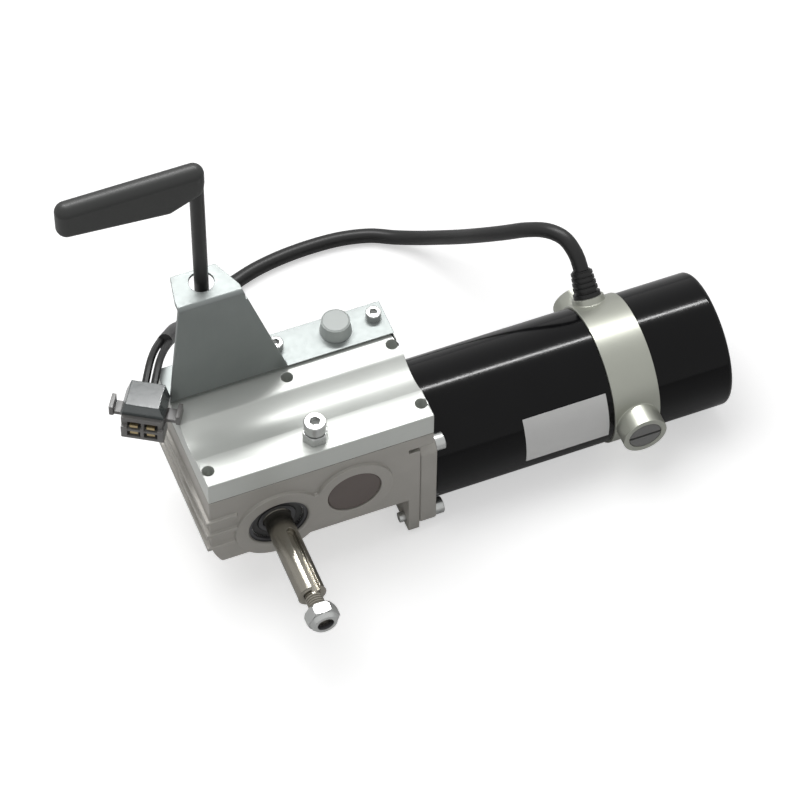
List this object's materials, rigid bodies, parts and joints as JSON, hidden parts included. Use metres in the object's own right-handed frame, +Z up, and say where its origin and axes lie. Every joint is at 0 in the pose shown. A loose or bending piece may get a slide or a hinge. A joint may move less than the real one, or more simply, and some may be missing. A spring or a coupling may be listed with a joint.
{
  "type": "roller shutter motor",
  "caption": "Worm-geared motor with a cross output shaft, a hand lever that frees the drive, a bracket over the gearbox and a cable with a plug.",
  "frame": {"origin": "where the output shaft's axis crosses the front boss face", "axes": "+X along the motor to its tail, +Y away from the output shaft's free end, +Z up"},
  "size_m": [0.3706, 0.2913, 0.2882],
  "materials": {
    "cast_alloy": "as-cast and machined, satin",
    "cover_alloy": "machined, fine satin",
    "ring_alloy": "turned, satin",
    "zinc_sheet": "zinc plated",
    "gasket": "matte",
    "buffer": "satin nylon",
    "bright_steel": "turned and ground",
    "fastener": "zinc plated",
    "dark_steel": "oiled",
    "cap_seal": "satin",
    "bronze": "cut bronze",
    "copper": "enamelled copper",
    "core_steel": "laminated",
    "magnet": "ferrite",
    "carbon": "pressed carbon",
    "phenolic": "moulded",
    "black_paint": "gloss black enamel",
    "cap_plastic": "moulded",
    "label": "printed film, left blank",
    "cable_rubber": "matte sheath",
    "connector_plastic": "moulded",
    "latch_plastic": "grey moulding",
    "terminal": "tinned",
    "grip_plastic": "fine grained moulding",
    "friction": "friction lining"
  },
  "bodies": {
    "gearmotor": {"gearbox_housing": "cast_alloy", "gearbox_cover": "cover_alloy", "cover_gasket": "gasket", "release_bracket": "zinc_sheet", "bracket_screws": "fastener", "stop_buffer": "buffer", "adjusting_screw": "fastener", "adjusting_locknut": "fastener", "bearing_cap": "cap_seal", "output_bearing_ring": "bright_steel", "output_circlip": "dark_steel", "inner_bearing_rings": "bright_steel", "bearing_balls": "bright_steel", "motor_flange": "cast_alloy", "flange_screws": "fastener", "motor_tube": "black_paint", "magnets": "magnet", "brush_ring": "ring_alloy", "brush_holders": "phenolic", "brushes": "carbon", "brush_springs": "bright_steel", "brush_caps": "cap_plastic", "brake_body": "core_steel", "brake_coil": "copper", "brake_springs": "bright_steel", "brake_bolts": "fastener", "brake_end_plate": "core_steel", "tail_cover": "black_paint", "rating_label": "label", "cable_gland": "cable_rubber", "motor_cable": "cable_rubber", "connector_leads": "cable_rubber", "connector_housing": "connector_plastic", "connector_latch": "latch_plastic", "connector_terminals": "terminal"},
    "output": {"output_shaft": "bright_steel", "output_bearing_inners": "bright_steel", "output_gear": "dark_steel", "clutch_keys": "dark_steel", "output_nut": "fastener"},
    "clutch": {"clutch_collar": "dark_steel"},
    "intermediate": {"intermediate_shaft": "bright_steel", "counter_bearing_inners": "bright_steel", "pinion": "dark_steel", "worm_wheel": "bronze"},
    "armature": {"worm_shaft": "bright_steel", "worm_bearing_inners": "bright_steel", "drive_coupling": "dark_steel", "armature_shaft": "bright_steel", "armature_bearing_inners": "bright_steel", "rotor_core": "core_steel", "windings": "copper", "commutator": "copper", "brake_hub": "dark_steel", "brake_disc": "friction"},
    "lever": {"lever_rod": "dark_steel", "lever_clip": "dark_steel", "lever_grip": "grip_plastic"},
    "brake_plate": {"brake_armature_plate": "core_steel"}
  },
  "joints": [
    {"name": "armature_spin", "type": "hinge", "parent": "gearmotor", "child": "armature", "pos_m": [0, 0.042, -0.014], "axis": [1, 0, 0], "continuous": true},
    {"name": "intermediate_spin", "type": "hinge", "parent": "gearmotor", "child": "intermediate", "pos_m": [0.045, 0, 0.007], "axis": [0, 1, 0], "continuous": true},
    {"name": "output_spin", "type": "hinge", "parent": "gearmotor", "child": "output", "pos_m": [0, 0, 0], "axis": [0, 1, 0], "continuous": true},
    {"name": "lever_turn", "type": "hinge", "parent": "gearmotor", "child": "lever", "pos_m": [-0.014, 0.0755, 0], "axis": [0, 0, 1], "range_deg": [-90, 0]},
    {"name": "clutch_slide", "type": "slide", "parent": "output", "child": "clutch", "axis": [0, 1, 0], "range_m": [0, 0.004]},
    {"name": "brake_release", "type": "slide", "parent": "gearmotor", "child": "brake_plate", "axis": [-1, 0, 0], "range_m": [0, 0.0003], "stiffness_N_per_m": 4000, "springref_m": -0.002}
  ],
  "couplings": [
    {"joint": "intermediate_spin", "follows": "armature_spin", "ratio": 0.083333},
    {"joint": "output_spin", "follows": "armature_spin", "ratio": -0.027778},
    {"joint": "clutch_slide", "follows": "lever_turn", "m_per_rad": -0.002546}
  ]
}
